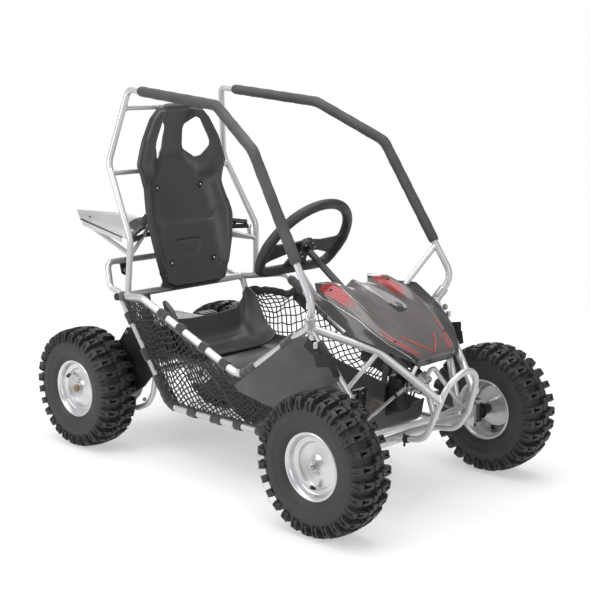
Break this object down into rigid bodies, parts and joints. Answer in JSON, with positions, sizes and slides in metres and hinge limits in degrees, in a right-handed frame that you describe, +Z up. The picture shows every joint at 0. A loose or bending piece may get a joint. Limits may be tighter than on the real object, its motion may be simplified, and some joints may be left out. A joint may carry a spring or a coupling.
{
  "type": "off road go kart",
  "caption": "Electric off road go kart: tubular frame with a roll cage, knobbly tyres, moulded seat, side nets, hood, steering with tie rods and a chain driven rear axle.",
  "frame": {"origin": "middle of the footprint, on the floor under the tyres", "axes": "+X forward, +Y to the driver's left, +Z up"},
  "size_m": [1.5916, 0.81, 1.0532],
  "materials": {
    "frame_paint": "satin silver paint",
    "black_steel": "satin black paint",
    "zinc_steel": "zinc plated",
    "tyre_rubber": "moulded rubber",
    "seat_plastic": "moulded, fine grain",
    "hood_plastic": "glossy grey with red panels",
    "vinyl": "dark vinyl cloth",
    "net_cord": "black net",
    "pad_foam": "foam sleeve with a dull skin"
  },
  "bodies": {
    "frame": {"side_rail_right": "frame_paint", "floor_rail_right": "frame_paint", "front_post_right": "frame_paint", "front_tube_right": "frame_paint", "rear_hoop_right": "frame_paint", "roof_tube_right": "frame_paint", "side_rail_left": "frame_paint", "floor_rail_left": "frame_paint", "front_post_left": "frame_paint", "front_tube_left": "frame_paint", "rear_hoop_left": "frame_paint", "roof_tube_left": "frame_paint", "front_axle": "frame_paint", "bumper_loop": "frame_paint", "rear_loop": "frame_paint", "upper_cross_bar": "frame_paint", "dash_hoop": "frame_paint", "tail_frame": "frame_paint", "tail_panel": "frame_paint", "seat_carrier": "frame_paint", "seat_back": "seat_plastic", "seat_base": "seat_plastic", "floor_tub": "seat_plastic", "hood": "hood_plastic", "roof_pad_right": "pad_foam", "roof_pad_left": "pad_foam", "side_net_right": "net_cord", "side_net_left": "net_cord", "guard_panel_right": "vinyl", "guard_panel_left": "vinyl", "axle_hanger_right": "black_steel", "axle_bearing_right": "zinc_steel", "axle_hanger_left": "black_steel", "axle_bearing_left": "zinc_steel", "chain": "zinc_steel", "motor": "black_steel", "battery_box": "black_steel", "brake_caliper": "black_steel", "brake_cable": "black_steel", "column_bracket": "frame_paint"},
    "rear_axle": {"rear_axle": "zinc_steel", "rear_sprocket": "zinc_steel", "brake_disc": "zinc_steel", "rear_rim_right": "frame_paint", "rear_rim_left": "frame_paint", "rear_tyre_right": "tyre_rubber", "rear_tyre_left": "tyre_rubber"},
    "motor_shaft": {"drive_sprocket": "zinc_steel"},
    "steering": {"steering_wheel": "pad_foam", "steering_column": "black_steel"},
    "brake_pedal": {"brake_pedal": "black_steel"},
    "throttle_pedal": {"throttle_pedal": "black_steel"},
    "knuckle_right": {"knuckle_right": "black_steel"},
    "tie_rod_right": {"tie_rod_right": "zinc_steel"},
    "front_wheel_right": {"front_rim_right": "frame_paint", "front_tyre_right": "tyre_rubber"},
    "knuckle_left": {"knuckle_left": "black_steel"},
    "tie_rod_left": {"tie_rod_left": "zinc_steel"},
    "front_wheel_left": {"front_rim_left": "frame_paint", "front_tyre_left": "tyre_rubber"}
  },
  "joints": [
    {"name": "rear_axle_spin", "type": "hinge", "parent": "frame", "child": "rear_axle", "pos_m": [-0.39175, 0, 0.1775], "axis": [0, 1, 0], "continuous": true},
    {"name": "motor_spin", "type": "hinge", "parent": "frame", "child": "motor_shaft", "pos_m": [-0.28671, 0.16, 0.29982], "axis": [0, 1, 0], "continuous": true},
    {"name": "steering_turn", "type": "hinge", "parent": "frame", "child": "steering", "pos_m": [0.24556, 0, 0.61559], "axis": [0.8126, 0, -0.5828], "range_deg": [-30, 30]},
    {"name": "brake_pedal_press", "type": "hinge", "parent": "frame", "child": "brake_pedal", "pos_m": [0.50311, 0.048, 0.18713], "axis": [0, 1, 0], "range_deg": [0, 20], "stiffness_Nm_per_rad": 4, "springref_deg": -8.59},
    {"name": "throttle_pedal_press", "type": "hinge", "parent": "frame", "child": "throttle_pedal", "pos_m": [0.50311, -0.092, 0.18713], "axis": [0, 1, 0], "range_deg": [0, 20], "stiffness_Nm_per_rad": 4, "springref_deg": -8.59},
    {"name": "kingpin_right", "type": "hinge", "parent": "frame", "child": "knuckle_right", "pos_m": [0.61825, -0.275, 0.1775], "axis": [0, 0, 1], "range_deg": [-25, 25]},
    {"name": "tie_rod_pivot_right", "type": "hinge", "parent": "knuckle_right", "child": "tie_rod_right", "pos_m": [0.55825, -0.275, 0.163], "axis": [0, 0, 1], "range_deg": [-25, 25]},
    {"name": "front_wheel_spin_right", "type": "hinge", "parent": "knuckle_right", "child": "front_wheel_right", "pos_m": [0.61825, -0.345, 0.1775], "axis": [0, 1, 0], "continuous": true},
    {"name": "kingpin_left", "type": "hinge", "parent": "frame", "child": "knuckle_left", "pos_m": [0.61825, 0.275, 0.1775], "axis": [0, 0, 1], "range_deg": [-25, 25]},
    {"name": "tie_rod_pivot_left", "type": "hinge", "parent": "knuckle_left", "child": "tie_rod_left", "pos_m": [0.55825, 0.275, 0.163], "axis": [0, 0, 1], "range_deg": [-25, 25]},
    {"name": "front_wheel_spin_left", "type": "hinge", "parent": "knuckle_left", "child": "front_wheel_left", "pos_m": [0.61825, 0.345, 0.1775], "axis": [0, 1, 0], "continuous": true}
  ],
  "couplings": [
    {"joint": "motor_spin", "follows": "rear_axle_spin", "ratio": 3},
    {"joint": "kingpin_right", "follows": "steering_turn", "ratio": -0.8333},
    {"joint": "tie_rod_pivot_right", "follows": "steering_turn", "ratio": 0.8333},
    {"joint": "kingpin_left", "follows": "steering_turn", "ratio": -0.8333},
    {"joint": "tie_rod_pivot_left", "follows": "steering_turn", "ratio": 0.8333}
  ]
}
